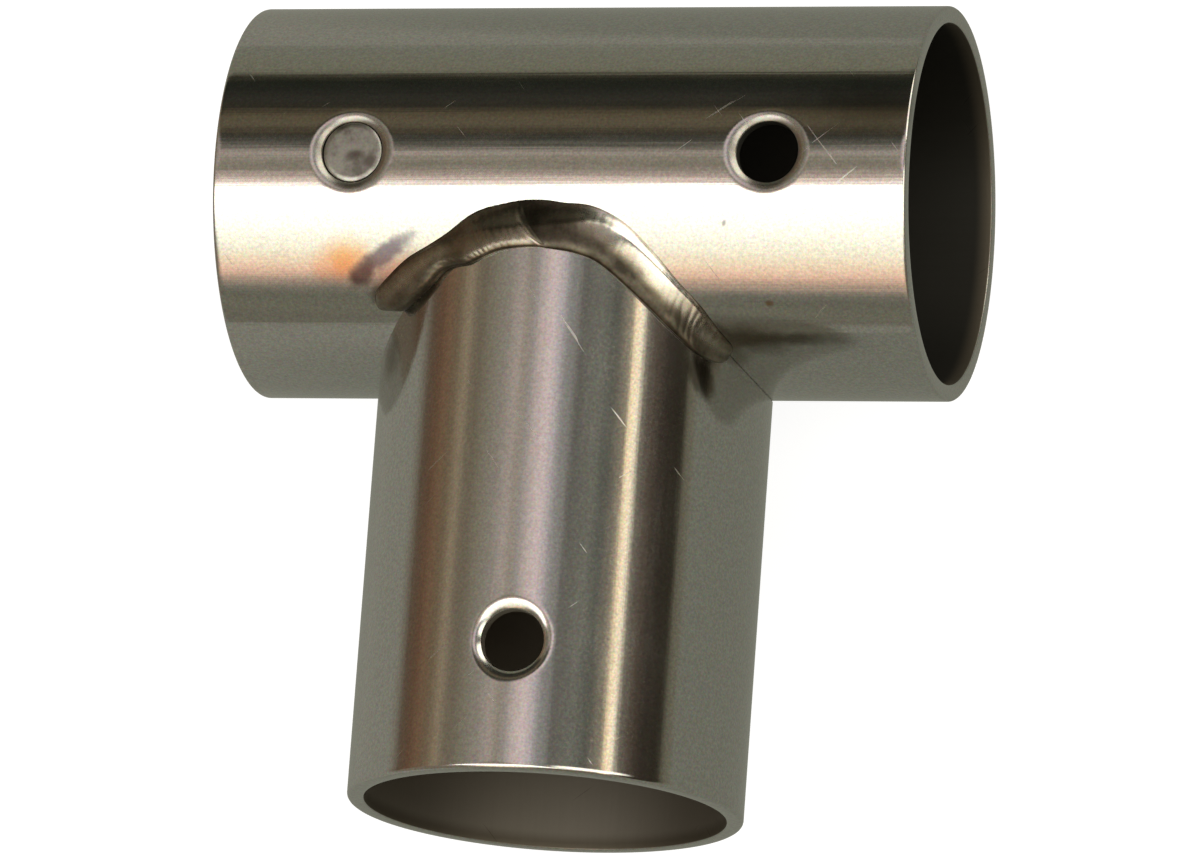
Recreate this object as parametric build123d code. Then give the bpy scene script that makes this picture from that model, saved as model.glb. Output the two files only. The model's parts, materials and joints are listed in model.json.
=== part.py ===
from build123d import *
import math
import os

os.makedirs("parts", exist_ok=True)

# A welded tee of two equal tube sleeves, lying on its back.
# The origin is where the sleeve axes cross. The run lies along X, the branch points to -Y,
# and the side with the screw holes faces up, +Z. Millimetres and degrees throughout.

# Sleeves
bore_diameter = 25.4        # takes a 25 mm tube
wall = 1.2
run_length = 50.0
run_shift = 1.3             # middle of the run, to the right of the branch's axis
branch_reach = 44.1         # from the run's axis to the branch's mouth
mouth_outer_bevel = 0.25    # broken outer edge of each mouth
mouth_inner_bevel = 0.15    # broken inner edge of each mouth

# Saddle joint
root_gap = 0.08             # left between the coped end and the run
crown_trim = 5.1            # the feather tips of the cope are cut back to here
tip_relief = 0.25           # the inside of the coped tips is ground back by this much
tip_relief_past = 0.6       # and the full bore starts this far past the run's skin

# Screw holes
screw_diameter = 4.4
screw_rim_round = 0.9       # the rim rolls inwards
screw_lip = 0.1             # straight bore left below the rolled rim, at the least
run_screw_inset = 10.0      # from each end of the run
branch_screw_inset = 9.15   # from the branch's mouth
branch_screw_turn = 2.4     # the branch's hole sits a little to the right of its crest

# Plug in the left hole of the run
plug_gap = 0.05             # all round
plug_recess = 0.40          # face below the crest of the sleeve
plug_foot = 0.05            # inner end above the bore
plug_edge = 0.12            # small chamfer round the face

# Weld beads
# Each row: degrees round the branch from its crest, to the right; reach of the bead over the run
# and over the branch, measured from the seam; height of its face over the line between its toes.
bead_stations = [
    (-51.0, 1.90, -0.70, 0.40),
    (-46.0, 2.15, 0.35, 0.50),
    (-40.0, 2.05, 0.80, 0.52),
    (-30.0, 1.32, 1.10, 0.44),
    (-24.0, 1.05, 2.05, 0.60),
    (-12.0, 1.45, 2.10, 0.80),
    (0.0, 1.76, 1.80, 0.65),
    (16.0, 1.52, 2.12, 0.60),
    (32.0, 1.20, 1.94, 0.45),
    (48.0, 0.92, 1.78, 0.40),
    (56.0, 0.68, 1.55, 0.32),
    (65.0, 0.60, 0.80, 0.20),
]
bead_crest = 0.55           # where the face is highest, as a share of the way to the branch
ripple_height = 0.05
ripple_turn = 8.0           # degrees round the branch from one ripple to the next
sections_per_ripple = 3
end_turn = 4.0              # degrees over which each end rounds off
end_share = 0.35            # what is left of the width at the very end
toe_sink = 0.08             # the toes of the bead are fused this far into the skins
root_depth = 0.6            # and its root reaches this far below the seam
back_bead_scale = 0.80      # the hidden bead is narrower
back_bead_height = 0.60     # and flatter, so that the tee lies flat
crater_radius = 1.0         # the pit where the arc was broken, on the front bead
crater_turn = -0.5
crater_depth = 0.28

# Sizes that follow
bore_radius = bore_diameter / 2
outer_radius = bore_radius + wall
run_start = run_shift - run_length / 2
run_finish = run_shift + run_length / 2
full_bore_start = outer_radius + tip_relief_past
left_screw_x = run_start + run_screw_inset
right_screw_x = run_finish - run_screw_inset
branch_screw_reach = branch_reach - branch_screw_inset
rim_round = min(screw_rim_round, wall - screw_lip)

run_frame = Plane(origin=(0, 0, 0), x_dir=(0, 0, 1), z_dir=(1, 0, 0))
branch_frame = Plane(origin=(0, 0, 0), x_dir=(0, 0, 1), z_dir=(0, -1, 0))


def bar(frame, radius, start, finish):
    """Solid round bar along a frame's Z axis."""
    blank = Cylinder(radius, finish - start, align=(Align.CENTER, Align.CENTER, Align.MIN))
    return frame * Pos(0, 0, start) * blank


def break_mouth(tube, frame, place):
    """Break the outer and the inner edge of a mouth that is cut square at this place."""
    middle = frame.from_local_coords((0, 0, place))
    for radius, bevel in ((outer_radius, mouth_outer_bevel), (bore_radius, mouth_inner_bevel)):
        ring = [
            edge
            for edge in tube.edges().filter_by(GeomType.CIRCLE)
            if (edge.arc_center - middle).length < 1e-3 and abs(edge.radius - radius) < 1e-3
        ]
        tube = chamfer(ring, bevel)
    return tube


def sleeve(frame, start, finish):
    return bar(frame, outer_radius, start, finish) - bar(frame, bore_radius, start, finish)


def screw_hole(tube, frame, place, turn):
    """Drill one wall square to its surface and roll the rim of the hole inwards."""
    drill_frame = frame * Pos(0, 0, place) * Rot(0, 0, turn) * Rot(0, 90, 0)
    drill = drill_frame * Cylinder(
        screw_diameter / 2, outer_radius * 2, align=(Align.CENTER, Align.CENTER, Align.MIN)
    )
    crest = (drill_frame * Pos(0, 0, outer_radius)).position
    tube = tube - drill
    rim = sorted(
        tube.edges(), key=lambda edge: (edge.center(CenterOf.BOUNDING_BOX) - crest).length
    )[0]
    return fillet(rim, rim_round)


def make_run_sleeve():
    tube = sleeve(run_frame, run_start, run_finish)
    tube = break_mouth(tube, run_frame, run_start)
    tube = break_mouth(tube, run_frame, run_finish)
    tube = screw_hole(tube, run_frame, left_screw_x, 0)
    return screw_hole(tube, run_frame, right_screw_x, 0)


def make_branch_sleeve():
    tube = sleeve(branch_frame, crown_trim, branch_reach)
    tube = break_mouth(tube, branch_frame, branch_reach)
    tube = screw_hole(tube, branch_frame, branch_screw_reach, -branch_screw_turn)
    tube = tube - bar(branch_frame, bore_radius + tip_relief, crown_trim, full_bore_start)
    return tube - bar(run_frame, outer_radius + root_gap, run_start, run_finish)


def seam(turn):
    """A point of the seam at an angle round the branch, and the way out of the corner there."""
    across = outer_radius * math.sin(math.radians(turn))
    down = (abs(across) ** 5 + crown_trim**5) ** 0.2
    on_branch = math.sqrt(outer_radius**2 - across**2)
    on_run = math.sqrt(max(outer_radius**2 - down**2, 0.0))
    point = Vector(across, -down, (on_branch + on_run) / 2)
    outward = Vector(across, -down, on_branch + on_run).normalized()
    return point, outward


def on_skin(point, outward, sleeve_axis):
    """The point carried outward to the skin of the sleeve that has this axis."""
    across = point - sleeve_axis * point.dot(sleeve_axis)
    way = outward - sleeve_axis * outward.dot(sleeve_axis)
    half = across.dot(way)
    inside = outer_radius**2 - across.dot(across)
    return point + outward * ((math.sqrt(half**2 + way.dot(way) * inside) - half) / way.dot(way))


def bead_sizes(turn):
    """Both reaches and the height at this angle: between the stations, rippled, ends rounded."""
    for first, second in zip(bead_stations, bead_stations[1:]):
        if turn <= second[0]:
            break
    share = (turn - first[0]) / (second[0] - first[0])
    over_run, over_branch, height = [
        start + (finish - start) * share for start, finish in zip(first[1:], second[1:])
    ]
    height += ripple_height * math.cos(2 * math.pi * turn / ripple_turn)
    to_end = min(turn - bead_stations[0][0], bead_stations[-1][0] - turn)
    full = end_share + (1 - end_share) * math.sin(min(1.0, to_end / end_turn) * math.pi / 2)
    middle = (over_branch - over_run) / 2
    half = (over_branch + over_run) / 2 * full
    return half - middle, half + middle, height * full


def bead_section(turn, step, width_scale, height_scale):
    """An arched face from toe to toe, closed through the root of the seam."""
    point, outward = seam(turn)
    ahead, _ = seam(turn + step / 2)
    behind, _ = seam(turn - step / 2)
    to_branch = (ahead - behind).cross(outward).normalized()
    over_run, over_branch, height = bead_sizes(turn)
    toes = []
    for aside in (-over_run * width_scale, over_branch * width_scale):
        sleeve_axis = run_frame.z_dir if aside < 0 else branch_frame.z_dir
        toes.append(on_skin(point + to_branch * aside, outward, sleeve_axis) - outward * toe_sink)
    run_toe, branch_toe = toes
    crest = run_toe + (branch_toe - run_toe) * bead_crest
    crest += outward * (height * height_scale + toe_sink)
    root = (run_toe + branch_toe) / 2
    root -= outward * ((root - point).dot(outward) + root_depth)
    outline = [ThreePointArc(run_toe, crest, branch_toe), Line(branch_toe, root), Line(root, run_toe)]
    return make_face(outline)


def bead(width_scale, height_scale):
    """A rippled bead lofted along the seam and cut back by both sleeves."""
    start, finish = bead_stations[0][0], bead_stations[-1][0]
    count = round((finish - start) / ripple_turn * sections_per_ripple)
    step = (finish - start) / count
    sections = [
        bead_section(start + index * step, step, width_scale, height_scale)
        for index in range(count + 1)
    ]
    roll = loft(sections, ruled=True)
    roll = roll - bar(run_frame, outer_radius, run_start, run_finish)
    return roll - bar(branch_frame, outer_radius, crown_trim, branch_reach)


def make_front_weld():
    weld = bead(1.0, 1.0)
    point, outward = seam(crater_turn)
    over_run, over_branch, height = bead_sizes(crater_turn)
    toes_height = on_skin(point, outward, branch_frame.z_dir) - point
    centre = point + toes_height + outward * (height / 2 + crater_radius - crater_depth)
    return weld - Pos(centre) * Sphere(crater_radius)


def make_back_weld():
    return mirror(bead(back_bead_scale, back_bead_height), about=Plane.XY)


def make_hole_plug():
    """A short round plug with a flat face, set below the crest of the sleeve."""
    foot = bore_radius + plug_foot
    face = outer_radius - plug_recess
    plug = Pos(left_screw_x, 0, foot) * Cylinder(
        screw_diameter / 2 - plug_gap, face - foot, align=(Align.CENTER, Align.CENTER, Align.MIN)
    )
    return chamfer(plug.edges().group_by(Axis.Z)[-1], plug_edge)


nodes = {
    "run_sleeve": make_run_sleeve(),
    "branch_sleeve": make_branch_sleeve(),
    "front_weld": make_front_weld(),
    "back_weld": make_back_weld(),
    "hole_plug": make_hole_plug(),
}

for name, shape in nodes.items():
    export_step(shape, f"parts/{name}.step")
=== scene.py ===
import json
import math

import bmesh
import bpy
from mathutils import Matrix, Vector, noise


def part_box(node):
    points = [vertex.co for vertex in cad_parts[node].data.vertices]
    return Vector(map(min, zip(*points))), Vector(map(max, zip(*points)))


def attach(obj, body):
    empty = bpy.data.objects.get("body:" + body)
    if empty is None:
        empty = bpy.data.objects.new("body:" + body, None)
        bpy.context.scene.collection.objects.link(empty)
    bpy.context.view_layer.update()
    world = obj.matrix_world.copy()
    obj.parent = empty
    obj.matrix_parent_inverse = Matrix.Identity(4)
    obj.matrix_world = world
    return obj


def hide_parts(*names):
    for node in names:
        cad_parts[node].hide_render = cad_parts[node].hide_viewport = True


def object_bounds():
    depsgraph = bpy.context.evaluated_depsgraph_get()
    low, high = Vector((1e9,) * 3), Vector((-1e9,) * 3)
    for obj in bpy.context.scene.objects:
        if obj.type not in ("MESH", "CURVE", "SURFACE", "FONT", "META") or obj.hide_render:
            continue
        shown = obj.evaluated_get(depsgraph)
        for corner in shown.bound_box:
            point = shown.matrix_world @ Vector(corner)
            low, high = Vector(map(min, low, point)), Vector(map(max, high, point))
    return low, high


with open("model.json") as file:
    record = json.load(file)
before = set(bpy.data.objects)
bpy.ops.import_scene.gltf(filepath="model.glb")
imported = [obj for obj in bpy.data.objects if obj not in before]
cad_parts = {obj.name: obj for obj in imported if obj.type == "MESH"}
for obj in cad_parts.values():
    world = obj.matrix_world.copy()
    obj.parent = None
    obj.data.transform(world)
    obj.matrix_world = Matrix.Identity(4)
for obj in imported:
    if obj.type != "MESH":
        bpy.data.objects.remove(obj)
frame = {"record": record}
cadBox = [list(corner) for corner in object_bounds()]
print("stage: frame loaded")

mm = 0.001
mounts = {mount["name"]: mount for mount in frame["record"]["mounts"]}
runLow, runHigh = [Vector(corner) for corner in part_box("run_sleeve")]
branchLow, branchHigh = [Vector(corner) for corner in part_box("branch_sleeve")]
plugLow, plugHigh = [Vector(corner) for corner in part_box("hole_plug")]

# sizes shared by every piece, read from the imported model
tube = {
    "outer": (runHigh.z - runLow.z) / 2,
    "bore": mounts["run_bore"]["dims"]["r_mm"] * mm,
    "runStart": runLow.x,
    "runEnd": runHigh.x,
    "crown": -branchHigh.y,
    "mouth": -branchLow.y,
}
tube["wall"] = tube["outer"] - tube["bore"]

# how near counts as the same: points that merge, points on an edge or a skin, sheet edges
same = {"merge": 0.002 * mm, "edge": 0.02 * mm, "skin": 0.03 * mm, "seam": 0.005 * mm}


# small helpers for meshes

def smoothStep(low, high, value):
    share = min(max((value - low) / (high - low), 0.0), 1.0)
    return share * share * (3 - 2 * share)


def blendValues(first, second, share):
    return first + (second - first) * share


def vertsOf(result):
    return [item for item in result["geom"] if isinstance(item, bmesh.types.BMVert)]


def edgesOf(result):
    return [item for item in result["geom"] if isinstance(item, bmesh.types.BMEdge)]


def finishMesh(bm, name, material, node, trueNormal=None):
    # closes seams, turns faces outwards and hands the piece to the frame
    bmesh.ops.remove_doubles(bm, verts=bm.verts, dist=same["merge"])
    bmesh.ops.recalc_face_normals(bm, faces=bm.faces)
    mesh = bpy.data.meshes.new(name)
    bm.to_mesh(mesh)
    bm.free()
    mesh.polygons.foreach_set("use_smooth", [True] * len(mesh.polygons))
    if trueNormal:
        normals = [trueNormal(vert.co) for vert in mesh.vertices]
        mesh.normals_split_custom_set_from_vertices(normals)
    piece = bpy.data.objects.new(name, mesh)
    bpy.context.scene.collection.objects.link(piece)
    piece.data.materials.append(material)
    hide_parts(node)
    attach(piece, "root")
    print("stage:", name, len(mesh.polygons), "faces")


# how the edge of every stain breaks up: its grain, how deep, and the share at full strength
stainEdge = {"grain": (900, 2.0), "depth": 0.5, "core": 0.2}


# shader maths: one socket with the operators that add Math nodes

class Wire:
    def __init__(self, tree, socket):
        self.tree = tree
        self.socket = socket

    def node(self, kind, settings=None, sockets=None, output=0):
        made = self.tree.nodes.new(kind)
        for key, value in (settings or {}).items():
            if key == "stops":
                setStops(made.color_ramp, value)
            else:
                setattr(made, key, value)
        for key, value in (sockets or {}).items():
            if isinstance(value, Wire):
                self.tree.links.new(value.socket, made.inputs[key])
            else:
                made.inputs[key].default_value = value
        return Wire(self.tree, made.outputs[output])

    def math(self, operation, *values):
        return self.node("ShaderNodeMath", {"operation": operation}, dict(enumerate(values)))

    def __add__(self, other):
        return self.math("ADD", self, other)

    def __radd__(self, other):
        return self.math("ADD", other, self)

    def __sub__(self, other):
        return self.math("SUBTRACT", self, other)

    def __rsub__(self, other):
        return self.math("SUBTRACT", other, self)

    def __mul__(self, other):
        return self.math("MULTIPLY", self, other)

    def __rmul__(self, other):
        return self.math("MULTIPLY", other, self)

    def __truediv__(self, other):
        return self.math("DIVIDE", self, other)

    def absolute(self):
        return self.math("ABSOLUTE", self)

    def fade(self, low, high):
        # 0 at low, 1 at high, smooth between
        ranged = {"interpolation_type": "SMOOTHSTEP"}
        return self.node("ShaderNodeMapRange", ranged, {0: self, 1: low, 2: high, 3: 0.0, 4: 1.0})

    def ramp(self, stops):
        return self.node("ShaderNodeValToRGB", {"stops": stops}, {0: self})

    def mixColour(self, first, second):
        # self is the share of the second colour
        return self.node("ShaderNodeMix", {"data_type": "RGBA"}, {0: self, 6: first, 7: second}, 2)

    def parts(self):
        made = self.tree.nodes.new("ShaderNodeSeparateXYZ")
        self.tree.links.new(self.socket, made.inputs[0])
        return [Wire(self.tree, made.outputs[index]) for index in range(3)]

    def stretch(self, x, y, z):
        scale = {"operation": "MULTIPLY"}
        return self.node("ShaderNodeVectorMath", scale, {0: self, 1: (x, y, z)})

    def grain(self, size, detail=2.0, rough=0.5, output=0):
        # soft noise with this many patches a metre, read at this wire's place
        sockets = {"Vector": self, "Scale": size, "Detail": detail, "Roughness": rough}
        return self.node("ShaderNodeTexNoise", {}, sockets, output)

    def speckle(self, size, strength):
        # colour noise round white, to multiply a colour with
        spread = {0: self.grain(size, 1.0, 0.5, 1), 1: (strength,) * 3, 2: (1 - strength / 2,) * 3}
        return self.node("ShaderNodeVectorMath", {"operation": "MULTIPLY_ADD"}, spread)

    def times(self, other):
        return self.node("ShaderNodeVectorMath", {"operation": "MULTIPLY"}, {0: self, 1: other})

    def patch(self, stain):
        # 1 in the middle of a stain, 0 at its ragged edge; self is the place
        turned = Vector((0, 0, math.radians(stain["turn"])))
        size = Vector(stain["size"]) * mm
        mapped = {0: self, 1: Vector(stain["at"]) * mm, 2: turned, 3: size}
        spot = self.node("ShaderNodeMapping", {"vector_type": "TEXTURE"}, mapped)
        away = self.node("ShaderNodeVectorMath", {"operation": "LENGTH"}, {0: spot}, 1)
        ragged = self.grain(*stainEdge["grain"]) - 0.5
        away = away + ragged * stainEdge["depth"]
        return 1 - away.fade(stain.get("core", stainEdge["core"]), 1.0)


def setStops(ramp, stops):
    while len(ramp.elements) < len(stops):
        ramp.elements.new(0.5)
    for element, (place, colour) in zip(ramp.elements, stops):
        element.position = place
        element.color = (*colour, 1.0)


def newMaterial(name):
    material = bpy.data.materials.new(name)
    material.use_nodes = True
    tree = material.node_tree
    shader = tree.nodes["Principled BSDF"]
    place = Wire(tree, tree.nodes.new("ShaderNodeTexCoord").outputs["Object"])
    return material, tree, shader, place


def plugIn(tree, shader, name, value):
    if isinstance(value, Wire):
        tree.links.new(value.socket, shader.inputs[name])
    else:
        shader.inputs[name].default_value = value


# stainless tube: drawn lines along its axis, scratches, specks, a dull bore with painted shade,
# heat by the weld

steel = {
    "colour": (0.54, 0.525, 0.49),
    "grainColour": (0.66, 0.645, 0.61),
    "rimColour": (0.27, 0.245, 0.205),
    # painted shade on the bore's wall by its mouth
    "lipShadeColour": (0.15, 0.13, 0.10),
    "roughness": 0.11,
    "rimRoughness": 0.34,
    "boreRoughness": 0.62,
    # where the painted shade of the bore turns from the lip colour to the sleeve's bore colour,
    # from the mouth inwards
    "lipToBoreShade": (0.3 * mm, 1.3 * mm),
    # grain: patches a metre, detail and how rough that detail is
    "lines": (2600, 3.0, 0.6),
    "clouds": (160, 3.0, 0.55),
    "fine": (5200, 2.0, 0.6),
    "mottle": (4300, 1.0, 0.5),
    "streaks": (1300, 3.0, 0.6),
    # how much the first three change the roughness, and which part of the mottle shows
    "lineRough": 0.10,
    "cloudRough": 0.08,
    "fineRough": 0.06,
    "mottleShows": (0.2, 0.8),
    # specks of colour: patches a metre and strength
    "speckle": (6600, 0.62),
    # how far the noise of the drawn lines and the streaks is stretched along the tube
    "lineDraw": 0.06,
    "streakDraw": 0.012,
    "reliefDepth": 0.016 * mm,
    "lineRelief": 0.07,
    "fineRelief": 0.03,
    # hairline scratches: their directions, their size, and which part of the noise shows
    "hairTurns": (38.0, -52.0),
    "hairSize": (9 * mm, 0.45 * mm, 9 * mm),
    "hairs": (1.6, 1.0),
    "hairShows": (0.765, 0.79),
    "hairRough": 0.22,
}

# marks on the skin: middle and half sizes in mm, turn about the vertical, colour, strength
runStains = [
    {"at": (-14.3, -7.4, 11.8), "size": (2.9, 2.0, 6), "turn": 15, "colour": (0.62, 0.33, 0.14),
     "strength": 0.85, "core": 0.1},
    {"at": (-10.4, -8.2, 11.3), "size": (3.6, 1.5, 6), "turn": 30, "colour": (0.34, 0.22, 0.18),
     "strength": 0.7},
    {"at": (-11.4, -7.1, 11.9), "size": (3.7, 0.85, 6), "turn": 30, "colour": (0.145, 0.115, 0.15),
     "strength": 0.9, "core": 0.35},
    {"at": (-12.9, -8.2, 11.1), "size": (1.7, 1.0, 6), "turn": 30, "colour": (0.10, 0.075, 0.075),
     "strength": 0.85, "core": 0.3},
    {"at": (-11.9, -9.4, 10.2), "size": (1.2, 0.7, 6), "turn": 30, "colour": (0.16, 0.12, 0.09),
     "strength": 0.7},
    {"at": (16.4, -11.8, 7.3), "size": (6.6, 0.6, 1.5), "turn": 0, "colour": (0.17, 0.15, 0.12),
     "strength": 0.85, "core": 0.2},
    {"at": (13.8, -11.8, 7.2), "size": (4.6, 1.5, 2.6), "turn": -4, "colour": (0.17, 0.145, 0.11),
     "strength": 0.8, "core": 0.15},
    {"at": (12.9, -12.6, 5.8), "size": (1.5, 1.2, 2.2), "turn": 0, "colour": (0.26, 0.24, 0.19),
     "strength": 0.7},
    {"at": (24.0, 3.2, 13.5), "size": (9.0, 3.0, 6), "turn": 0, "colour": (0.26, 0.25, 0.22),
     "strength": 0.75, "core": 0.1},
    {"at": (16.2, -9.9, 9.8), "size": (0.5, 0.25, 1), "turn": 0, "colour": (0.35, 0.15, 0.05),
     "strength": 0.7},
    {"at": (13.4, -5.0, 12.9), "size": (0.3, 0.2, 1), "turn": 70, "colour": (0.2, 0.19, 0.17),
     "strength": 0.8},
]
branchStains = [
    {"at": (-11.3, -13.5, 7.5), "size": (1.6, 2.4, 4), "turn": 0, "colour": (0.22, 0.19, 0.14),
     "strength": 0.75},
    {"at": (11.2, -14.8, 8.0), "size": (0.9, 1.9, 3), "turn": 20, "colour": (0.20, 0.18, 0.15),
     "strength": 0.85, "core": 0.5},
]

# what differs between the sleeves: the painted shade of the bore, and how dull the rims of the
# screw holes are
runFinish = {"bore": (0.05, 0.048, 0.042), "rimShare": 0.72, "rimRough": 1.0, "streaks": 0.5}
branchFinish = {"bore": (0.24, 0.215, 0.18), "rimShare": 0.10, "rimRough": 0.35, "streaks": 0.22}


def tubeMaterial(name, axis, ends, stains, finish):
    material, tree, shader, place = newMaterial(name)
    # where the bore and the hole walls are unpolished and painted with shade
    inside = place.node("ShaderNodeAttribute", {"attribute_name": "dull"}, output=2)
    rim = place.node("ShaderNodeAttribute", {"attribute_name": "rim"}, output=2)
    lineWay, streakWay = [1, 1, 1], [1, 1, 1]
    lineWay[axis], streakWay[axis] = steel["lineDraw"], steel["streakDraw"]
    depth = (ends[1] - ends[0]) / 2 - (place.parts()[axis] - (ends[0] + ends[1]) / 2).absolute()
    deep = depth.fade(*steel["lipToBoreShade"])
    lines = place.stretch(*lineWay).grain(*steel["lines"])
    cloud = place.grain(*steel["clouds"])
    fine = place.grain(*steel["fine"])
    rough = steel["roughness"] + (lines - 0.5) * steel["lineRough"]
    rough = rough + (cloud - 0.5) * steel["cloudRough"] + (fine - 0.5) * steel["fineRough"]
    for turn in steel["hairTurns"]:
        # short thin hairlines, each set in its own direction
        turned = {0: place, 2: Vector((0, 0, math.radians(turn))), 3: steel["hairSize"]}
        hairs = place.node("ShaderNodeMapping", {"vector_type": "TEXTURE"}, turned)
        shown = hairs.grain(*steel["hairs"]).fade(*steel["hairShows"])
        rough = rough + shown * steel["hairRough"]
    rough = rough + rim * (finish["rimRough"] * (steel["rimRoughness"] - steel["roughness"]))
    rough = rough + inside * (steel["boreRoughness"] - steel["roughness"])
    grainy = place.grain(*steel["mottle"]).fade(*steel["mottleShows"])
    skin = grainy.mixColour((*steel["colour"], 1), (*steel["grainColour"], 1))
    for stain in stains:
        share = place.patch(stain) * stain["strength"]
        skin = share.mixColour(skin, (*stain["colour"], 1))
    skin = (rim * finish["rimShare"]).mixColour(skin, (*steel["rimColour"], 1))
    skin = skin.times(place.speckle(*steel["speckle"]))
    # painted shade inside the bore and the screw holes: the lip colour by the mouth, the sleeve's
    # bore colour deeper in
    bore = deep.mixColour((*steel["lipShadeColour"], 1), (*finish["bore"], 1))
    colour = inside.mixColour(skin, bore)
    plugIn(tree, shader, "Base Color", colour)
    plugIn(tree, shader, "Metallic", 1.0)
    plugIn(tree, shader, "Roughness", rough)
    streaks = place.stretch(*streakWay).grain(*steel["streaks"])
    relief = streaks + lines * steel["lineRelief"] + fine * steel["fineRelief"]
    bumped = {"Strength": finish["streaks"], "Distance": steel["reliefDepth"], "Height": relief}
    plugIn(tree, shader, "Normal", place.node("ShaderNodeBump", {}, bumped))
    return material


# weld metal: brown oxide and painted shade where the tone is low, bare metal and a painted
# highlight where it is high
weld = {
    "oxideAndPaintedLightColours": [
        (0.0, (0.045, 0.038, 0.028)),
        (0.3, (0.17, 0.145, 0.108)),
        (0.6, (0.37, 0.325, 0.26)),
        (1.0, (0.66, 0.63, 0.57)),
    ],
    # grain and specks as on the tubes, and how much the clouds change the tone
    "clouds": (520, 3.0, 0.6),
    "cloudTone": 0.75,
    "fine": (4200, 2.0, 0.6),
    "speckle": (6600, 0.7),
    # roughness of the brown oxide, how much the bare metal takes off it, and its grain
    "roughness": 0.36,
    "bareShine": 0.16,
    "fineRough": 0.1,
    "bump": {"Strength": 0.10, "Distance": 0.03 * mm},
}


def weldMaterial(name):
    material, tree, shader, place = newMaterial(name)
    # the tone is the oxide together with painted highlight and painted shade
    tone = place.node("ShaderNodeAttribute", {"attribute_name": "tone"}, output=2)
    cloud = place.grain(*weld["clouds"])
    fine = place.grain(*weld["fine"])
    tone = tone + (cloud - 0.5) * weld["cloudTone"]
    colour = tone.ramp(weld["oxideAndPaintedLightColours"]).times(place.speckle(*weld["speckle"]))
    rough = weld["roughness"] - tone * weld["bareShine"] + (fine - 0.5) * weld["fineRough"]
    plugIn(tree, shader, "Base Color", colour)
    plugIn(tree, shader, "Metallic", 1.0)
    plugIn(tree, shader, "Roughness", rough)
    bump = place.node("ShaderNodeBump", {}, {**weld["bump"], "Height": fine})
    plugIn(tree, shader, "Normal", bump)
    return material


# plug: greyer than the tubes, clouded, with two dark smudges
plugFinish = {
    "colour": (0.46, 0.455, 0.41),
    "cloudColour": (0.24, 0.225, 0.20),
    "clouds": (520, 4.0, 0.6),
    "cloudShows": (0.42, 0.66),
    "fine": (6000, 2.0, 0.6),
    "speckle": (6600, 0.62),
    "roughness": 0.34,
    "fineRough": 0.2,
}
plugStains = [
    {"at": (-13.5, -0.2, 13.4), "size": (1.0, 0.55, 1), "turn": 15, "colour": (0.13, 0.11, 0.09),
     "strength": 0.8},
    {"at": (-12.4, -0.6, 13.4), "size": (0.6, 0.9, 1), "turn": 0, "colour": (0.15, 0.13, 0.11),
     "strength": 0.6},
]


def plugMaterial(name):
    material, tree, shader, place = newMaterial(name)
    clouded = place.grain(*plugFinish["clouds"]).fade(*plugFinish["cloudShows"])
    fine = place.grain(*plugFinish["fine"])
    colour = clouded.mixColour((*plugFinish["colour"], 1), (*plugFinish["cloudColour"], 1))
    for stain in plugStains:
        share = place.patch(stain) * stain["strength"]
        colour = share.mixColour(colour, (*stain["colour"], 1))
    colour = colour.times(place.speckle(*plugFinish["speckle"]))
    plugIn(tree, shader, "Base Color", colour)
    plugIn(tree, shader, "Metallic", 1.0)
    rough = plugFinish["roughness"] + (fine - 0.5) * plugFinish["fineRough"]
    plugIn(tree, shader, "Roughness", rough)
    return material


runEnds = (tube["runStart"], tube["runEnd"])
branchEnds = (-tube["mouth"], tube["mouth"])
runSteel = tubeMaterial("runSteel", 0, runEnds, runStains, runFinish)
branchSteel = tubeMaterial("branchSteel", 1, branchEnds, branchStains, branchFinish)
weldSteel = weldMaterial("weldSteel")
plugSteel = plugMaterial("plugSteel")
print("stage: materials made")


# sleeves: a flat sheet with its holes cut, thickened, rolled into a tube, edges rounded

sleeve = {
    "cell": 0.5 * mm,
    "windowReach": 4.2 * mm,
    "windowSearch": 1.3,
    "ringRadii": [radius * mm for radius in (4.0, 3.75, 3.5, 3.35, 3.2, 3.1, 3.0, 2.9, 2.8, 2.7,
                                             2.61, 2.52, 2.43, 2.35, 2.28)],
    "dimpleReach": 3.2 * mm,
    "dimpleSlope": 38.0,
    "dimpleSpread": 1.5,
    "edgeRound": 0.07 * mm,
    "edgeSteps": 3,
    "mouthOuterRound": {"run": 0.18 * mm, "branch": 0.32 * mm},
    "mouthInnerRound": 0.15 * mm,
    "mouthSteps": 4,
    "copeFade": 24.0 * mm,
    "rootGap": 0.08 * mm,
    # walls of the screw holes are square to the crest up to here, then the sheet rolls evenly
    "squareWall": (4.5 * mm, 8 * mm),
    # the plain skin starts this far from a mouth, and this many dimple reaches from a hole
    "plainInset": 0.4 * mm,
    "plainReach": 1.02,
    # the dull wall of a hole, painted with shade, starts this far below the edge of its dimple
    "dullShadedWallBelow": 0.04 * mm,
}
screwRadius = mounts["run_screw_hole"]["dims"]["r_mm"] * mm


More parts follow.
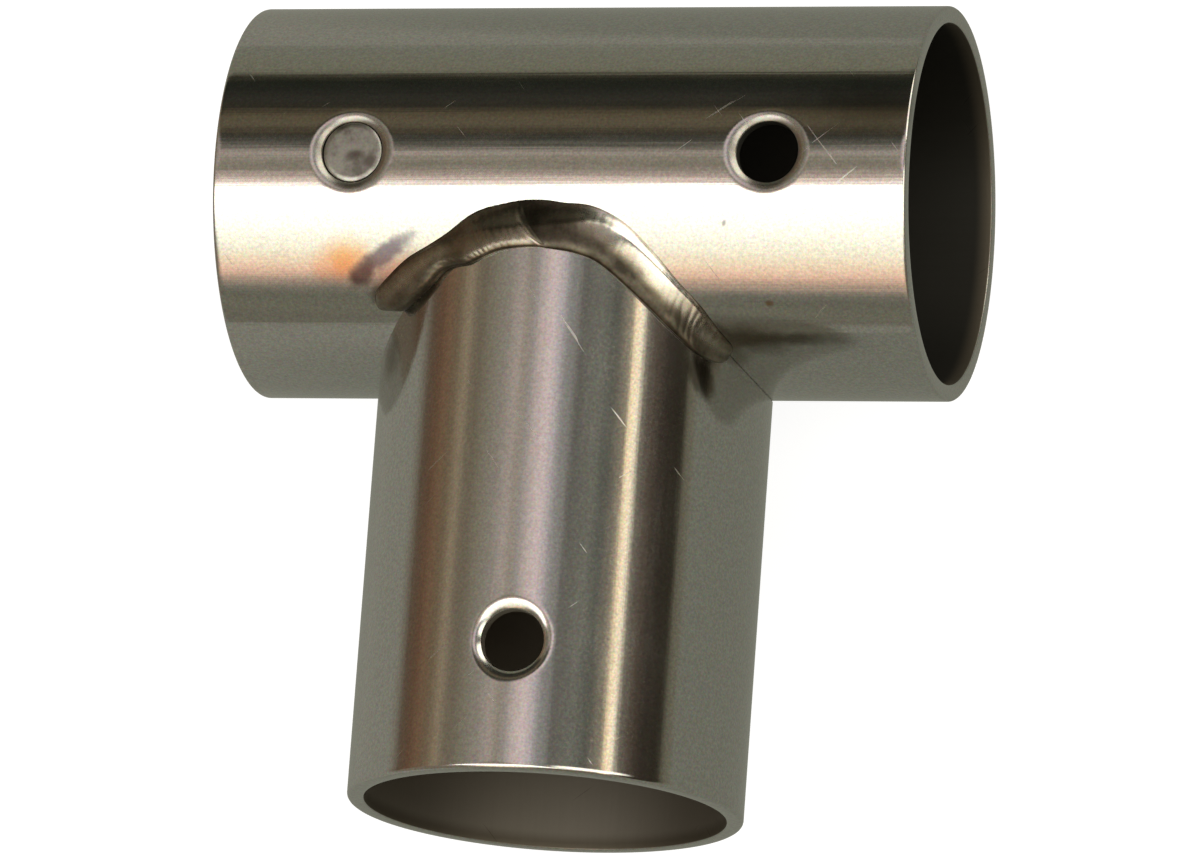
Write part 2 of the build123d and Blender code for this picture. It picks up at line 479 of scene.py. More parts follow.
def cutScrewHole(bm, centre):
    # a square window in the sheet, closed in again by rings of faces down to the hole
    doomed = []
    for face in bm.faces:
        away = face.calc_center_median() - centre
        if max(abs(away.x), abs(away.y)) < sleeve["windowReach"]:
            doomed.append(face)
    bmesh.ops.delete(bm, geom=doomed, context="FACES")
    ring = []
    searched = sleeve["windowReach"] * sleeve["windowSearch"]
    for edge in bm.edges:
        away = (edge.verts[0].co + edge.verts[1].co) / 2 - centre
        if edge.is_boundary and max(abs(away.x), abs(away.y)) < searched:
            ring.append(edge)
    corners = [vert.co - centre for edge in ring for vert in edge.verts]
    low = Vector((min(away.x for away in corners), min(away.y for away in corners)))
    high = Vector((max(away.x for away in corners), max(away.y for away in corners)))
    for ringIndex, radius in enumerate(sleeve["ringRadii"] + [screwRadius]):
        grown = bmesh.ops.extrude_edge_only(bm, edges=ring)
        newVerts = set(vertsOf(grown))
        ring = [edge for edge in edgesOf(grown) if set(edge.verts) <= newVerts]
        for vert in newVerts:
            away = vert.co - centre
            if ringIndex == 0:
                turn = squareTurn(
                    (2 * away.x - low.x - high.x) / (high.x - low.x),
                    (2 * away.y - low.y - high.y) / (high.y - low.y),
                )
            else:
                turn = math.atan2(away.y, away.x)
            vert.co = centre + Vector((math.cos(turn), math.sin(turn), 0)) * radius


def squareTurn(x, y):
    # evenly spread angle for a point on the edge of a square two units wide
    quarter = math.pi / 4
    if abs(x) >= abs(y):
        return quarter * y / x + (0 if x > 0 else math.pi)
    return -quarter * x / y + (math.pi / 2 if y > 0 else -math.pi / 2)


def rolledSleeve(start, end, holes, toWorld, cope=None):
    girth = 2 * math.pi * tube["outer"]
    bm = bmesh.new()
    place = Matrix.Translation(((start + end) / 2, 0, 0))
    bmesh.ops.create_grid(
        bm,
        x_segments=round((end - start) / sleeve["cell"]),
        y_segments=round(girth / sleeve["cell"]),
        size=0.5,
        matrix=place @ Matrix.Diagonal((end - start, girth, 1, 1)),
    )
    for along, turn in holes:
        cutScrewHole(bm, Vector((along, turn * tube["outer"], 0)))
    bmesh.ops.recalc_face_normals(bm, faces=bm.faces)
    if sum(face.normal.z for face in bm.faces) < 0:
        bmesh.ops.reverse_faces(bm, faces=bm.faces)
    bmesh.ops.solidify(bm, geom=bm.faces[:], thickness=tube["wall"])
    top = max(vert.co.z for vert in bm.verts)
    bmesh.ops.translate(bm, vec=(0, 0, -top), verts=bm.verts)
    for vert in bm.verts:
        if vert.co.z > -tube["wall"] / 2:
            for along, turn in holes:
                away = math.hypot(vert.co.x - along, vert.co.y - turn * tube["outer"])
                vert.co.z -= dimpleDepth(away)
    edgeLine = girth / 2 - same["seam"]
    seamFaces = []
    for face in bm.faces:
        if all(abs(vert.co.y) > edgeLine for vert in face.verts):
            seamFaces.append(face)
    bmesh.ops.delete(bm, geom=seamFaces, context="FACES")
    for vert in bm.verts:
        rollVert(vert, cope)
    bmesh.ops.remove_doubles(bm, verts=bm.verts, dist=same["seam"])
    outerRound = sleeve["mouthOuterRound"]["run" if cope is None else "branch"]
    roundMouths(bm, [start, end] if cope is None else [end], outerRound)
    for along, turn in holes:
        roundScrewEdge(bm, along, turn)
    paintDullAndShade(bm, holes)
    for vert in bm.verts:
        vert.co = toWorld(vert.co)
    return bm


def rollVert(vert, cope):
    # X stays along the tube, Y wraps round it, Z is the height over the outer skin
    along, wrap, lift = vert.co
    radius = tube["outer"] + lift
    turn = wrap / tube["outer"]
    if abs(wrap) < sleeve["squareWall"][1]:
        # walls of the screw holes stay square to the crest
        square = math.asin(tube["outer"] * math.sin(turn) / radius)
        turn = blendValues(square, turn, smoothStep(*sleeve["squareWall"], abs(wrap)))
    side = radius * math.sin(turn)
    height = radius * math.cos(turn)
    if cope is not None:
        along = cope(along, height)
    vert.co = (along, side, height)


def roundMouths(bm, places, outerRound):
    tiny = same["edge"]
    for radius, size in ((tube["outer"], outerRound), (tube["bore"], sleeve["mouthInnerRound"])):
        loop = []
        for edge in bm.edges:
            if all(
                min(abs(vert.co.x - place) for place in places) < tiny
                and abs(math.hypot(vert.co.y, vert.co.z) - radius) < tiny
                for vert in edge.verts
            ):
                loop.append(edge)
        bmesh.ops.bevel(
            bm,
            geom=loop,
            offset=size,
            offset_type="OFFSET",
            segments=sleeve["mouthSteps"],
            profile=0.5,
            affect="EDGES",
            material=-1,
        )


def holeDistance(co, along, turn):
    # how far from the axis of a hole of a tube along X, and how far up along that axis
    side = co.y * math.cos(turn) - co.z * math.sin(turn)
    up = co.y * math.sin(turn) + co.z * math.cos(turn)
    return math.hypot(co.x - along, side), up


def dimpleDepth(away):
    # the sheet dips towards the hole, ever steeper, up to the full slope at its edge
    steepest = math.tan(math.radians(sleeve["dimpleSlope"]))
    length = sleeve["dimpleReach"] - screwRadius
    share = min(max((sleeve["dimpleReach"] - away) / length, 0.0), 1.0)
    spread = sleeve["dimpleSpread"]
    return steepest * length * share ** (1 + spread) / (1 + spread)


def roundScrewEdge(bm, along, turn):
    tiny = same["edge"]
    edgeSkin = tube["outer"] - dimpleDepth(screwRadius)
    loop = []
    for edge in bm.edges:
        spots = [holeDistance(vert.co, along, turn) for vert in edge.verts]
        skins = [math.hypot(vert.co.y, vert.co.z) for vert in edge.verts]
        onRim = all(up > 0 and abs(away - screwRadius) < 2 * tiny for away, up in spots)
        if onRim and all(abs(skin - edgeSkin) < tiny for skin in skins):
            loop.append(edge)
    bmesh.ops.bevel(
        bm,
        geom=loop,
        offset=sleeve["edgeRound"],
        offset_type="OFFSET",
        segments=sleeve["edgeSteps"],
        profile=0.5,
        affect="EDGES",
        material=-1,
    )


def paintDullAndShade(bm, holes):
    # the bore and the walls of the holes were never polished, and their rims only a little; the
    # bore and the hole walls also get painted shade
    layer = bm.verts.layers.float.new("dull")
    rimLayer = bm.verts.layers.float.new("rim")
    edgeSkin = tube["outer"] - dimpleDepth(screwRadius) - sleeve["dullShadedWallBelow"]
    for vert in bm.verts:
        skin = math.hypot(vert.co.y, vert.co.z)
        dull = skin < tube["bore"] + same["skin"]
        for along, turn in holes:
            away, up = holeDistance(vert.co, along, turn)
            dull = dull or (up > 0 and away < screwRadius + same["skin"] and skin < edgeSkin)
            if up > 0 and skin > tube["bore"]:
                worn = 1 - smoothStep(screwRadius, sleeve["dimpleReach"], away)
                vert[rimLayer] = max(vert[rimLayer], worn)
        vert[layer] = 1.0 if dull else 0.0


def branchCope(along, height):
    # the end of the branch follows the run's skin, with its thin tips cut back to the crown
    skin = tube["outer"] + sleeve["rootGap"]
    reach = max(tube["crown"], math.sqrt(max(skin**2 - height**2, 0)))
    share = 1 - smoothStep(tube["crown"], tube["crown"] + sleeve["copeFade"], along)
    return along + (reach - tube["crown"]) * share


def roundNormal(co, axis, low, high, holes):
    # the plain part of the skin shades as a true cylinder; elsewhere nothing is given
    along = co[axis]
    flat = Vector(co)
    flat[axis] = 0
    plain = abs(flat.length - tube["outer"]) < same["merge"] and low < along < high
    for hole in holes:
        if (co - hole).length < sleeve["dimpleReach"] * sleeve["plainReach"]:
            plain = False
    return flat.normalized() if plain else Vector((0, 0, 0))


runHole = Vector(mounts["run_screw_hole"]["pos_m"])
branchHole = Vector(mounts["branch_screw_hole"]["pos_m"])
branchHoleAxis = Vector(mounts["branch_screw_hole"]["axis"])
plugX = (plugLow.x + plugHigh.x) / 2

runHoles = [(plugX, 0.0), (runHole.x, 0.0)]
runMesh = rolledSleeve(tube["runStart"], tube["runEnd"], runHoles, lambda co: co)
runCentres = [Vector((along, 0, tube["outer"])) for along, _ in runHoles]
runPlain = tube["runStart"] + sleeve["plainInset"], tube["runEnd"] - sleeve["plainInset"]
finishMesh(
    runMesh,
    "run_tube",
    runSteel,
    "run_sleeve",
    lambda co: roundNormal(co, 0, *runPlain, runCentres),
)

branchHoles = [(-branchHole.y, math.atan2(branchHoleAxis.x, branchHoleAxis.z))]
branchMesh = rolledSleeve(
    tube["crown"],
    tube["mouth"],
    branchHoles,
    lambda co: Vector((co.y, -co.x, co.z)),
    branchCope,
)
branchCentre = branchHole + branchHoleAxis * (tube["outer"] - branchHole.xz.length)
branchPlain = sleeve["plainInset"] - tube["mouth"], 0
finishMesh(
    branchMesh,
    "branch_tube",
    branchSteel,
    "branch_sleeve",
    lambda co: roundNormal(co, 1, *branchPlain, [branchCentre]),
)


# weld beads: a fillet of weld metal along the saddle, with ripples, a broken-off crater and pits

frontBead = {
    # degrees round the branch, then in mm: reach over the run, reach over the branch,
    # thickness and size of the fillet; then the share of the width that climbs off the run,
    # and how much thicker the bead gets towards the branch
    "stations": [
        (-51.0, 1.90, -0.70, 0.36, 1.0, 0.15, 0.6),
        (-47.0, 2.15, 0.20, 0.42, 1.2, 0.15, 0.8),
        (-42.0, 2.10, 0.65, 0.44, 1.4, 0.15, 0.9),
        (-36.0, 1.85, 0.98, 0.42, 1.4, 0.15, 0.8),
        (-30.0, 1.32, 1.10, 0.36, 1.2, 0.20, 0.6),
        (-24.0, 1.05, 2.05, 0.44, 0.6, 0.35, 0.6),
        (-16.0, 1.30, 2.20, 0.44, 0.5, 0.50, 0.7),
        (-8.0, 1.58, 1.95, 0.40, 0.4, 0.60, 0.8),
        (0.0, 1.76, 1.80, 0.32, 0.4, 0.60, 0.8),
        (8.0, 1.58, 1.98, 0.32, 0.4, 0.50, 0.8),
        (16.0, 1.52, 2.12, 0.34, 0.6, 0.35, 0.6),
        (24.0, 1.40, 2.00, 0.36, 0.9, 0.25, 0.4),
        (32.0, 1.20, 1.94, 0.38, 1.0, 0.20, 0.3),
        (40.0, 0.98, 1.85, 0.40, 1.0, 0.15, 0.3),
        (48.0, 0.92, 1.78, 0.38, 0.9, 0.15, 0.3),
        (56.0, 0.68, 1.55, 0.32, 0.7, 0.15, 0.2),
        (65.0, 0.60, 0.80, 0.20, 0.3, 0.15, 0.0),
    ],
    "scale": 1.0,
    "thicknessScale": 1.0,
    # degrees over which each end rounds off, and the least that is left of it, squared
    "endRound": 4.0,
    "endLeast": 0.004,
    "shoulder": 2.5,
    "up": 1,
    "seed": 11,
    "sink": 0.10 * mm,
    "depth": 0.30 * mm,
    # places along the bead (degrees) with the height of the ripples there (mm)
    "ripples": [(-54, 0.010), (-34, 0.008), (-22, 0.018), (-7, 0.020), (2, 0.005), (20, 0.005),
                (42, 0.005), (48, 0.014), (54, 0.012), (66, 0.005)],
    "ripplePitch": 0.62 * mm,
    "rippleBow": 1.3 * mm,
    "rippleSharp": 1.5,
    # the seam is this much longer than the girth of the branch under it
    "seamLonger": 1.15,
    # how far the ripples stray, in pitches, and over what length
    "wander": 0.45,
    "wanderSize": 1.1 * mm,
    "lumps": 0.075 * mm,
    "lumpSize": 2.2 * mm,
    "lumpAcross": 2.5 * mm,
    # degrees, then mm along the bead: a lip, a steep edge, a floor that rises again
    "crater": {
        "turn": -5.5,
        "bow": 9.0,
        "depth": 0.30,
        "edge": 0.40,
        "floor": 0.3,
        "run": 3.2,
        "lip": 0.04,
        "lipAt": 0.15,
        "lipWidth": 0.2,
        # where it starts across the bead, and how much shallower it is by the branch
        "inset": (0.02, 0.50),
        "shallower": 0.55,
    },
    # degrees, share of the way to the branch, radius and depth in mm
    "pits": [(33.0, 0.42, 0.55, 0.035), (37.5, 0.55, 0.45, 0.04), (29.0, 0.5, 0.4, 0.025)],
    "pitAcross": 3.0,
    # degrees, then how bare the metal is, with painted highlight and painted shade laid on it: by
    # the run, in the middle, by the branch
    "oxideAndPaintedLightLevels": [
        (-51, 0.45, 0.40, 0.30),
        (-40, 0.38, 0.55, 0.34),
        (-30, 0.35, 0.50, 0.26),
        (-22, 0.25, 0.35, 0.45),
        (-12, 0.20, 0.32, 0.55),
        (-7, 0.22, 0.38, 0.50),
        (-5.9, 0.32, 0.66, 0.62),
        (-5.0, 0.0, 0.02, 0.10),
        (1, 0.02, 0.08, 0.12),
        (9, 0.30, 0.30, 0.18),
        (15, 0.90, 0.50, 0.10),
        (23, 1.20, 0.66, 0.05),
        (36, 1.20, 0.66, 0.08),
        (42, 0.90, 0.60, 0.18),
        (47, 0.60, 0.70, 0.30),
        (54, 0.50, 0.70, 0.35),
        (65, 0.35, 0.35, 0.30),
    ],
    # where across the bead one tone turns into the next, and how dark the painted shade along its
    # toes is
    "oxideAndPaintedLightByRun": (0.1, 0.5),
    "oxideAndPaintedLightByBranch": (0.45, 0.72),
    "outline": 0.4,
    "outlineWidth": 0.09,
}
backBead = dict(frontBead, scale=0.85, thicknessScale=0.30, up=-1, seed=5, crater=None, pits=[])
beadMesh = {
    "stations": 420,
    "across": 60,
    "under": 12,
    # degrees to either side, between which the direction of the seam is taken
    "step": 0.5,
    # how sharply the seam turns from the trimmed tips into the saddle, as in the solids
    "seamCorner": 5,
    "merge": 0.003 * mm,
}


def readTable(table, place):
    # smooth curve through rows of numbers, the first number being the place
    last = len(table) - 1
    index = max(0, min(last - 1, sum(row[0] <= place for row in table) - 1))
    rows = [table[min(max(index + step, 0), last)] for step in (-1, 0, 1, 2)]
    t = (place - rows[1][0]) / (rows[2][0] - rows[1][0])
    t = min(max(t, 0.0), 1.0)
    values = []
    for a, b, c, d in list(zip(*rows))[1:]:
        bend = (2 * a - 5 * b + 4 * c - d) * t * t + (3 * b - a - 3 * c + d) * t * t * t
        values.append(0.5 * (2 * b + (c - a) * t + bend))
    return values


def seamPoint(turn):
    # a point of the seam at this angle round the branch, and the way out of the corner there
    corner = beadMesh["seamCorner"]
    across = tube["outer"] * math.sin(turn)
    down = (abs(across) ** corner + tube["crown"] ** corner) ** (1 / corner)
    onBranch = math.sqrt(tube["outer"] ** 2 - across**2)
    onRun = math.sqrt(max(tube["outer"] ** 2 - down**2, 0))
    point = Vector((across, -down, (onBranch + onRun) / 2))
    outward = Vector((across, -down, onBranch + onRun)).normalized()
    return point, outward


def skinHeight(point, outward, dropAxis):
    # how far along outward the skin of a tube lies; dropAxis is the tube's own axis
    keep = [axis for axis in range(3) if axis != dropAxis]
    base = Vector([point[axis] for axis in keep])
    way = Vector([outward[axis] for axis in keep])
    half = base.dot(way)
    rest = max(half**2 - way.dot(way) * (base.dot(base) - tube["outer"] ** 2), 0)
    return (math.sqrt(rest) - half) / way.dot(way)


def beadRelief(bead, degrees, distance, share):
    # height added to the face of the bead; share runs from the run's toe to the branch's
    strength = readTable(bead["ripples"], degrees)[0] * mm
    wander = noise.noise(Vector((distance / bead["wanderSize"], bead["seed"], share)))
    bowed = (distance - bead["rippleBow"] * share * share) / bead["ripplePitch"]
    strayed = (bowed + bead["wander"] * wander) % 1
    wave = 1 - abs(2 * strayed - 1) ** bead["rippleSharp"]
    lumpPlace = Vector((distance, share * bead["lumpAcross"], bead["seed"] * mm))
    lumpPlace = lumpPlace / bead["lumpSize"]
    relief = strength * wave + bead["lumps"] * noise.noise(lumpPlace)
    for place, across, radius, depth in bead["pits"]:
        along = math.radians(degrees - place) * tube["outer"] / (radius * mm)
        aside = (share - across) * bead["pitAcross"] / radius
        relief -= depth * mm * math.exp(-along * along - aside * aside)
    crater = bead["crater"]
    if crater:
        edge = crater["turn"] + crater["bow"] * share * share
        past = math.radians(degrees - edge) * tube["outer"] / mm
        hollow = smoothStep(0, crater["edge"], past)
        hollow = hollow * (1 - smoothStep(crater["floor"], crater["run"], past))
        depth = crater["depth"] * hollow * (1 - crater["shallower"] * share)
        lip = crater["lip"] * math.exp(-(((past + crater["lipAt"]) / crater["lipWidth"]) ** 2))
        relief += (lip - depth) * smoothStep(*crater["inset"], share) * mm
    return relief


def beadVert(bead, share, around):
    low, high = bead["stations"][0][0], bead["stations"][-1][0]
    degrees = blendValues(low, high, share)
    overRun, overBranch, thickness, fillet, rise, lean = readTable(bead["stations"], degrees)
    toEnd = min(1.0, min(degrees - low, high - degrees) / bead["endRound"])
    ending = math.sqrt(max(1 - (1 - toEnd) ** 2, bead["endLeast"]))
    middle = (overBranch - overRun) / 2
    half = (overBranch + overRun) / 2 * ending
    onTop = around <= 1
    across = 0.5 - 0.5 * math.cos(math.pi * (around if onTop else 2 - around))
    aside = (middle + (2 * across - 1) * half) * bead["scale"] * mm
    point, outward = seamPoint(math.radians(degrees))
    ahead, _ = seamPoint(math.radians(degrees + beadMesh["step"]))
    behind, _ = seamPoint(math.radians(degrees - beadMesh["step"]))
    sideways = (ahead - behind).cross(outward).normalized()
    onRun = skinHeight(point + sideways * aside, outward, 0)
    onBranch = skinHeight(point + sideways * aside, outward, 1)
    plateau = max(1 - abs(2 * across - 1) ** bead["shoulder"], 0) ** (1 / bead["shoulder"])
    plateau *= ending
    # the deeper of the two skins is where the bead rests, so its face follows the upper one
    soft = fillet * mm * plateau
    upper = (onRun + onBranch + math.sqrt((onRun - onBranch) ** 2 + soft**2)) / 2
    face = blendValues(onRun, upper, smoothStep(0, rise, across)) - bead["sink"]
    if onTop:
        distance = math.radians(degrees) * tube["outer"] * bead["seamLonger"]
        raised = thickness * (1 + lean * (2 * across - 1)) * mm * bead["thicknessScale"]
        raised += bead["sink"]
        relief = beadRelief(bead, degrees, distance, across) * bead["thicknessScale"]
        height = face + (raised + relief) * plateau
    else:
        resting = onRun if aside < 0 else max(onRun, onBranch)
        below = min(face, resting - bead["depth"])
        height = blendValues(face, below, math.sin(math.pi * across) ** 0.5)
    spot = point + outward * height + sideways * aside
    bow = bead["crater"]["bow"] if bead["crater"] else 0
    # the tone paints oxide and painted light: a painted highlight on the right leg, painted shade
    # in the crater's hollow
    byRun, middleOxideAndPaintedLight, byBranch = readTable(bead["oxideAndPaintedLightLevels"], degrees - bow * across * across)
    tone = blendValues(byRun, middleOxideAndPaintedLight, smoothStep(*bead["oxideAndPaintedLightByRun"], across))
    tone = blendValues(tone, byBranch, smoothStep(*bead["oxideAndPaintedLightByBranch"], across))
    # a thin dark line of painted shade along both toes of the bead
    toSide = smoothStep(0.0, bead["outlineWidth"], min(across, 1 - across))
    tone *= blendValues(bead["outline"], 1.0, toSide)
    return (spot.x, spot.y, spot.z * bead["up"]), tone


def weldBead(bead):
    bm = bmesh.new()
    rows = beadMesh["across"] + beadMesh["under"]
    bmesh.ops.create_grid(bm, x_segments=beadMesh["stations"], y_segments=rows, size=0.5)
    oxideAndPaintedLightLevels = bm.verts.layers.float.new("tone")
    for vert in bm.verts:
        row = round((vert.co.y + 0.5) * rows)
        around = row / beadMesh["across"]
        if row > beadMesh["across"]:
            around = 1 + (row - beadMesh["across"]) / beadMesh["under"]
        vert.co, vert[oxideAndPaintedLightLevels] = beadVert(bead, vert.co.x + 0.5, around)
    bmesh.ops.remove_doubles(bm, verts=bm.verts, dist=beadMesh["merge"])
    rims = [edge for edge in bm.edges if edge.is_boundary]
    bmesh.ops.holes_fill(bm, edges=rims, sides=0)
    return bm


finishMesh(weldBead(frontBead), "front_bead", weldSteel, "front_weld")
finishMesh(weldBead(backBead), "back_bead", weldSteel, "back_weld")


# plug: a short turned disc with a broken edge and a slightly domed face

plug = {"edge": 0.06 * mm, "dome": 0.03 * mm, "steps": 96, "rings": 6}


def turnedPlug():
    radius = (plugHigh.x - plugLow.x) / 2
    centre = Vector((plugX, 0, 0))
    face = plugHigh.z
    bm = bmesh.new()
    flat = radius - plug["edge"]
    profile = [(0, plugLow.z), (radius, plugLow.z), (radius, face - plug["dome"] - plug["edge"])]
    profile.append((flat, face - plug["dome"]))
    for ring in range(plug["rings"] - 1, -1, -1):
        share = ring / plug["rings"]
        profile.append((flat * share, face - plug["dome"] * share * share))
    verts = [bm.verts.new(centre + Vector((away, 0, height))) for away, height in profile]
    edges = [bm.edges.new(pair) for pair in zip(verts, verts[1:])]
    bmesh.ops.spin(
        bm,
        geom=verts + edges,
        cent=centre,
        axis=(0, 0, 1),
        angle=2 * math.pi,
        steps=plug["steps"],
        use_merge=True,
    )
    return bm


finishMesh(turnedPlug(), "plug_disc", plugSteel, "hole_plug")


# stage: pale floor, a soft studio all round, and the camera at the photograph's angle

studio = {
    "floorSize": 3.0,
    "floorColour": (0.90, 0.90, 0.90),
    "floorGlow": 0.90,
    "floorShade": (0.30, 0.30, 0.30),
    "mirroredFloor": (0.238, 0.242, 0.20),
    "mirroredLeft": (0.305, 0.302, 0.255),
    "leftFrom": (-0.045, -0.015),
    # the run mirrors the first set of bands, the branch the second, each along its own line
    "runLooksX": -0.26,
    "branchLooksY": 0.24,
    "bandsMeet": (-0.065, 0.075),
    # the bands mirrored low on the run slant towards the left
    "lowBands": (-0.85, -0.45),
    "lowBandSlant": 0.62,
    "slantTo": -0.235,
    "slantMost": 0.06,
    # patches of the room that only the weld and the rims of the holes mirror
    "patches": [
        {"way": (0.30, -0.80, 0.52), "size": 0.36, "soft": 0.10, "fadeY": (0.0, 0.06),
         "colour": (0.20, 0.165, 0.12)},
        {"way": (0.62, 0.50, 0.60), "size": 0.46, "soft": 0.10, "fadeY": (0.40, 0.32),
         "colour": (2.6, 2.5, 2.2)},
        {"way": (0.64, -0.05, 0.76), "size": 0.36, "soft": 0.10, "fadeY": (0.06, 0.13),
         "colour": (2.4, 2.3, 2.0)},
        {"way": (-0.75, -0.50, 0.42), "size": 0.44, "soft": 0.09, "fadeY": (0.02, 0.12),
         "colour": (0.24, 0.20, 0.15)},
    ],
    # what the tubes mirror, by degrees from straight up: towards +Y, then towards +X
    "towardsY": [
        (-90, (0.20, 0.19, 0.15)),
        (-84, (0.22, 0.217, 0.164)),
        (-76, (0.184, 0.182, 0.143)),
        (-72, (0.238, 0.232, 0.19)),
        (-68, (0.46, 0.37, 0.30)),
        (-64, (0.86, 0.60, 0.45)),
        (-60, (1.28, 0.83, 0.62)),
        (-53, (1.46, 1.19, 0.88)),
        (-46, (1.52, 1.42, 1.13)),
        (-39, (1.66, 1.62, 1.38)),
        (-28, (1.95, 1.93, 1.72)),
        (-5.5, (2.80, 2.75, 2.60)),
        (-3, (1.15, 0.92, 0.80)),
        (0, (0.66, 0.52, 0.46)),
        (4, (0.37, 0.325, 0.27)),
        (8, (0.27, 0.245, 0.19)),
        (12, (0.315, 0.287, 0.218)),
        (14.5, (0.27, 0.26, 0.20)),
        (17.7, (0.125, 0.122, 0.092)),
        (21.5, (0.08, 0.08, 0.065)),
        (25, (0.048, 0.045, 0.034)),
        (28, (0.085, 0.07, 0.045)),
        (32.5, (0.16, 0.134, 0.088)),
        (39, (0.128, 0.103, 0.063)),
        (42, (0.06, 0.052, 0.036)),
        (44.5, (0.032, 0.03, 0.022)),
        (48, (0.044, 0.042, 0.033)),
        (54, (0.029, 0.029, 0.023)),
        (61, (0.018, 0.021, 0.015)),
        (66, (0.045, 0.040, 0.026)),
        (69, (0.235, 0.230, 0.170)),
        (90, (0.243, 0.246, 0.20)),
    ],
    "towardsX": [
        (-90, (0.305, 0.295, 0.245)),
        (-86, (0.25, 0.225, 0.18)),
        (-81, (0.145, 0.105, 0.072)),
        (-73, (0.17, 0.098, 0.06)),
        (-67, (0.235, 0.145, 0.088)),
        (-61, (0.215, 0.158, 0.10)),
        (-53, (0.38, 0.305, 0.21)),
        (-49, (0.245, 0.205, 0.148)),
        (-44, (0.22, 0.185, 0.135)),
        (-37, (0.29, 0.262, 0.20)),
        (-28, (0.37, 0.335, 0.29)),
        (-20, (0.56, 0.48, 0.44)),
        (-15.5, (0.80, 0.66, 0.60)),
        (-12, (0.44, 0.41, 0.40)),
        (-8, (0.67, 0.57, 0.54)),
        (-2, (0.92, 0.76, 0.75)),
        (1, (0.90, 0.75, 0.76)),
        (4, (0.70, 0.63, 0.65)),
        (8, (0.38, 0.37, 0.36)),
        (12, (0.33, 0.32, 0.30)),
        (16, (0.175, 0.168, 0.15)),
        (28, (0.21, 0.21, 0.178)),
        (36, (0.125, 0.13, 0.11)),
        (45.5, (0.30, 0.26, 0.20)),
        (48.5, (1.60, 1.28, 0.84)),
        (52, (1.55, 1.38, 1.08)),
        (54.5, (0.22, 0.205, 0.17)),
        (61, (0.105, 0.08, 0.06)),
        (70, (0.045, 0.036, 0.027)),
        (82, (0.035, 0.030, 0.020)),
        (86, (0.19, 0.178, 0.13)),
        (90, (0.215, 0.205, 0.155)),
    ],
}


def degreeStops(stops):
    return [(degrees / 180 + 0.5, colour) for degrees, colour in stops]


def makeWorld():
    world = bpy.data.worlds.new("softStudio")
    bpy.context.scene.world = world
    world.use_nodes = True
    tree = world.node_tree
    direction = Wire(tree, tree.nodes.new("ShaderNodeTexCoord").outputs["Generated"])
    x, y, z = direction.parts()
    lower = 1 - y.fade(*studio["lowBands"])
    slant = x - studio["slantTo"]
    slant = slant.math("MAXIMUM", slant, -studio["slantMost"])
    slant = slant.math("MINIMUM", slant, 0.0) * lower * studio["lowBandSlant"]
    towardsY = y.math("ARCTAN2", y, z) / math.pi + 0.5 + slant
    towardsX = x.math("ARCTAN2", x, z) / math.pi + 0.5
    offY = (x - studio["runLooksX"]).absolute()
    offX = (y - studio["branchLooksY"]).absolute()
    sideShare = (offY - offX).fade(*studio["bandsMeet"])
    bandsY = towardsY.ramp(degreeStops(studio["towardsY"]))
    bandsX = towardsX.ramp(degreeStops(studio["towardsX"]))
    mirrored = sideShare.mixColour(bandsY, bandsX)
    for panel in studio["patches"]:
        ends = {0: direction, 1: panel["way"]}
        off = direction.node("ShaderNodeVectorMath", {"operation": "DISTANCE"}, ends, 1)
        share = 1 - off.fade(panel["size"] - panel["soft"], panel["size"] + panel["soft"])
        share = share * (1 - y.fade(*panel["fadeY"]))
        mirrored = share.mixColour(mirrored, (*panel["colour"], 1))
    seen = Wire(tree, tree.nodes.new("ShaderNodeLightPath").outputs["Is Camera Ray"])
    colour = seen.mixColour(mirrored, (*studio["floorColour"], 1))
    plugIn(tree, tree.nodes["Background"], "Color", colour)


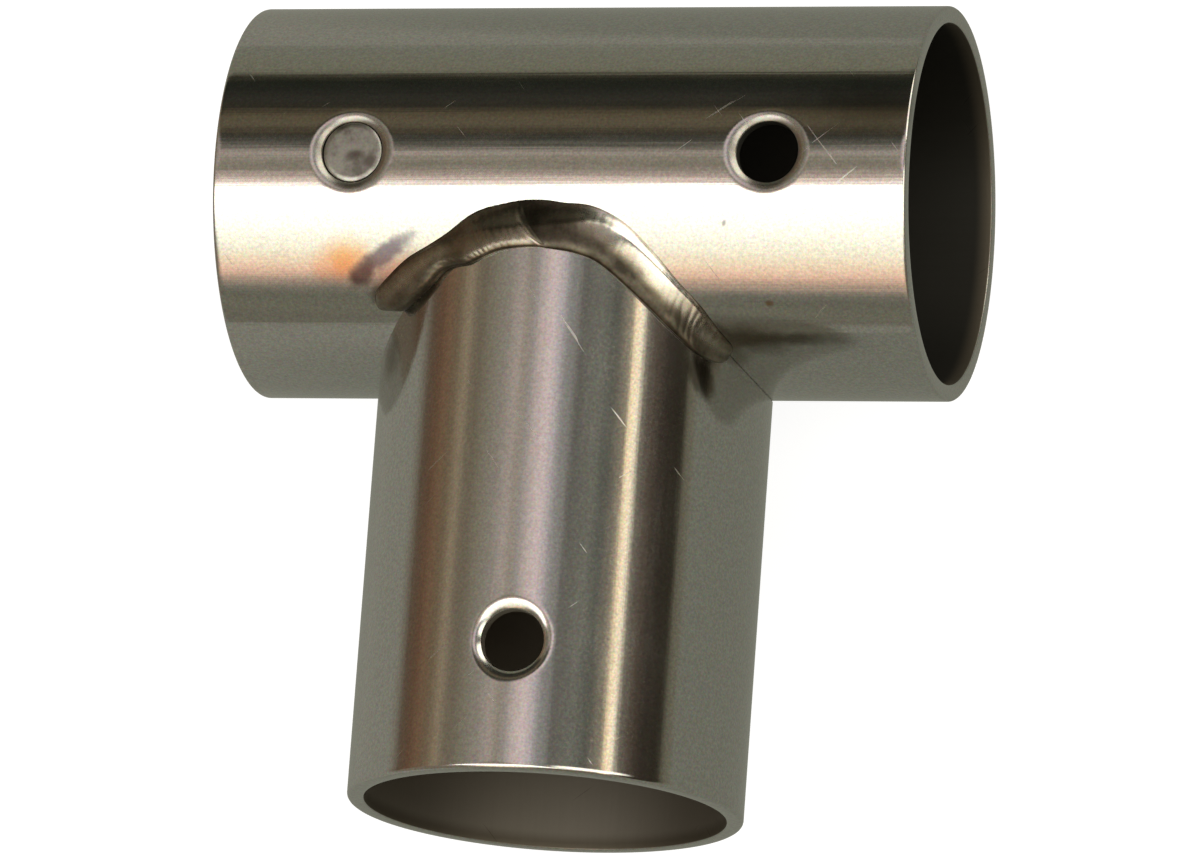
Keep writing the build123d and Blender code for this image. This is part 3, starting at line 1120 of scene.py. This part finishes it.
def makeFloor():
    bm = bmesh.new()
    bmesh.ops.create_grid(bm, x_segments=1, y_segments=1, size=studio["floorSize"] / 2)
    bmesh.ops.translate(bm, vec=(0, 0, cadBox[0][2]), verts=bm.verts)
    mesh = bpy.data.meshes.new("floor")
    bm.to_mesh(mesh)
    bm.free()
    floor = bpy.data.objects.new("floor", mesh)
    bpy.context.scene.collection.objects.link(floor)
    material = bpy.data.materials.new("paleFloor")
    material.use_nodes = True
    tree = material.node_tree
    tree.nodes.remove(tree.nodes["Principled BSDF"])
    seen = Wire(tree, tree.nodes.new("ShaderNodeLightPath").outputs["Is Camera Ray"])
    place = Wire(tree, tree.nodes.new("ShaderNodeTexCoord").outputs["Object"])
    left = 1 - place.parts()[0].fade(*studio["leftFrom"])
    mirrored = left.mixColour((*studio["mirroredFloor"], 1), (*studio["mirroredLeft"], 1))
    glow = seen.mixColour(mirrored, (*[studio["floorGlow"]] * 3, 1))
    glowing = seen.node("ShaderNodeEmission", {}, {"Color": glow})
    shade = seen.mixColour((0, 0, 0, 1), (*studio["floorShade"], 1))
    matt = seen.node("ShaderNodeBsdfDiffuse", {}, {"Color": shade})
    both = seen.node("ShaderNodeAddShader", {}, {0: glowing, 1: matt})
    tree.links.new(both.socket, tree.nodes["Material Output"].inputs["Surface"])
    mesh.materials.append(material)


# the camera stands to the right of the tee and a little below it, as the photograph's did
view = {
    "right": 15.73,
    "below": 13.80,
    "roll": 4.21,
    "distance": 731.39 * mm,
    "target": Vector((1.96, -16.69, 0)) * mm,
    "focal": 10378.8,
    "frameWidth": 1200,
    "sensor": 36.0,
    "clipEnd": 20,
}


def makeCamera():
    right = math.radians(view["right"])
    below = math.radians(view["below"])
    towards = Vector(
        (math.sin(right) * math.cos(below), -math.sin(below), math.cos(right) * math.cos(below))
    )
    sideways = Vector((0, 1, 0)).cross(towards).normalized()
    upright = towards.cross(sideways)
    turned = Matrix((sideways, upright, towards)).transposed().to_4x4()
    camera = bpy.data.objects.new("camera", bpy.data.cameras.new("camera"))
    bpy.context.scene.collection.objects.link(camera)
    place = Matrix.Translation(view["target"] + towards * view["distance"])
    camera.matrix_world = place @ turned @ Matrix.Rotation(math.radians(view["roll"]), 4, "Z")
    camera.data.sensor_width = view["sensor"]
    camera.data.lens = view["focal"] * view["sensor"] / view["frameWidth"]
    camera.data.clip_end = view["clipEnd"]
    bpy.context.scene.camera = camera


makeWorld()
makeFloor()
makeCamera()
bpy.context.scene.view_settings.view_transform = "Standard"
print("stage: studio set")
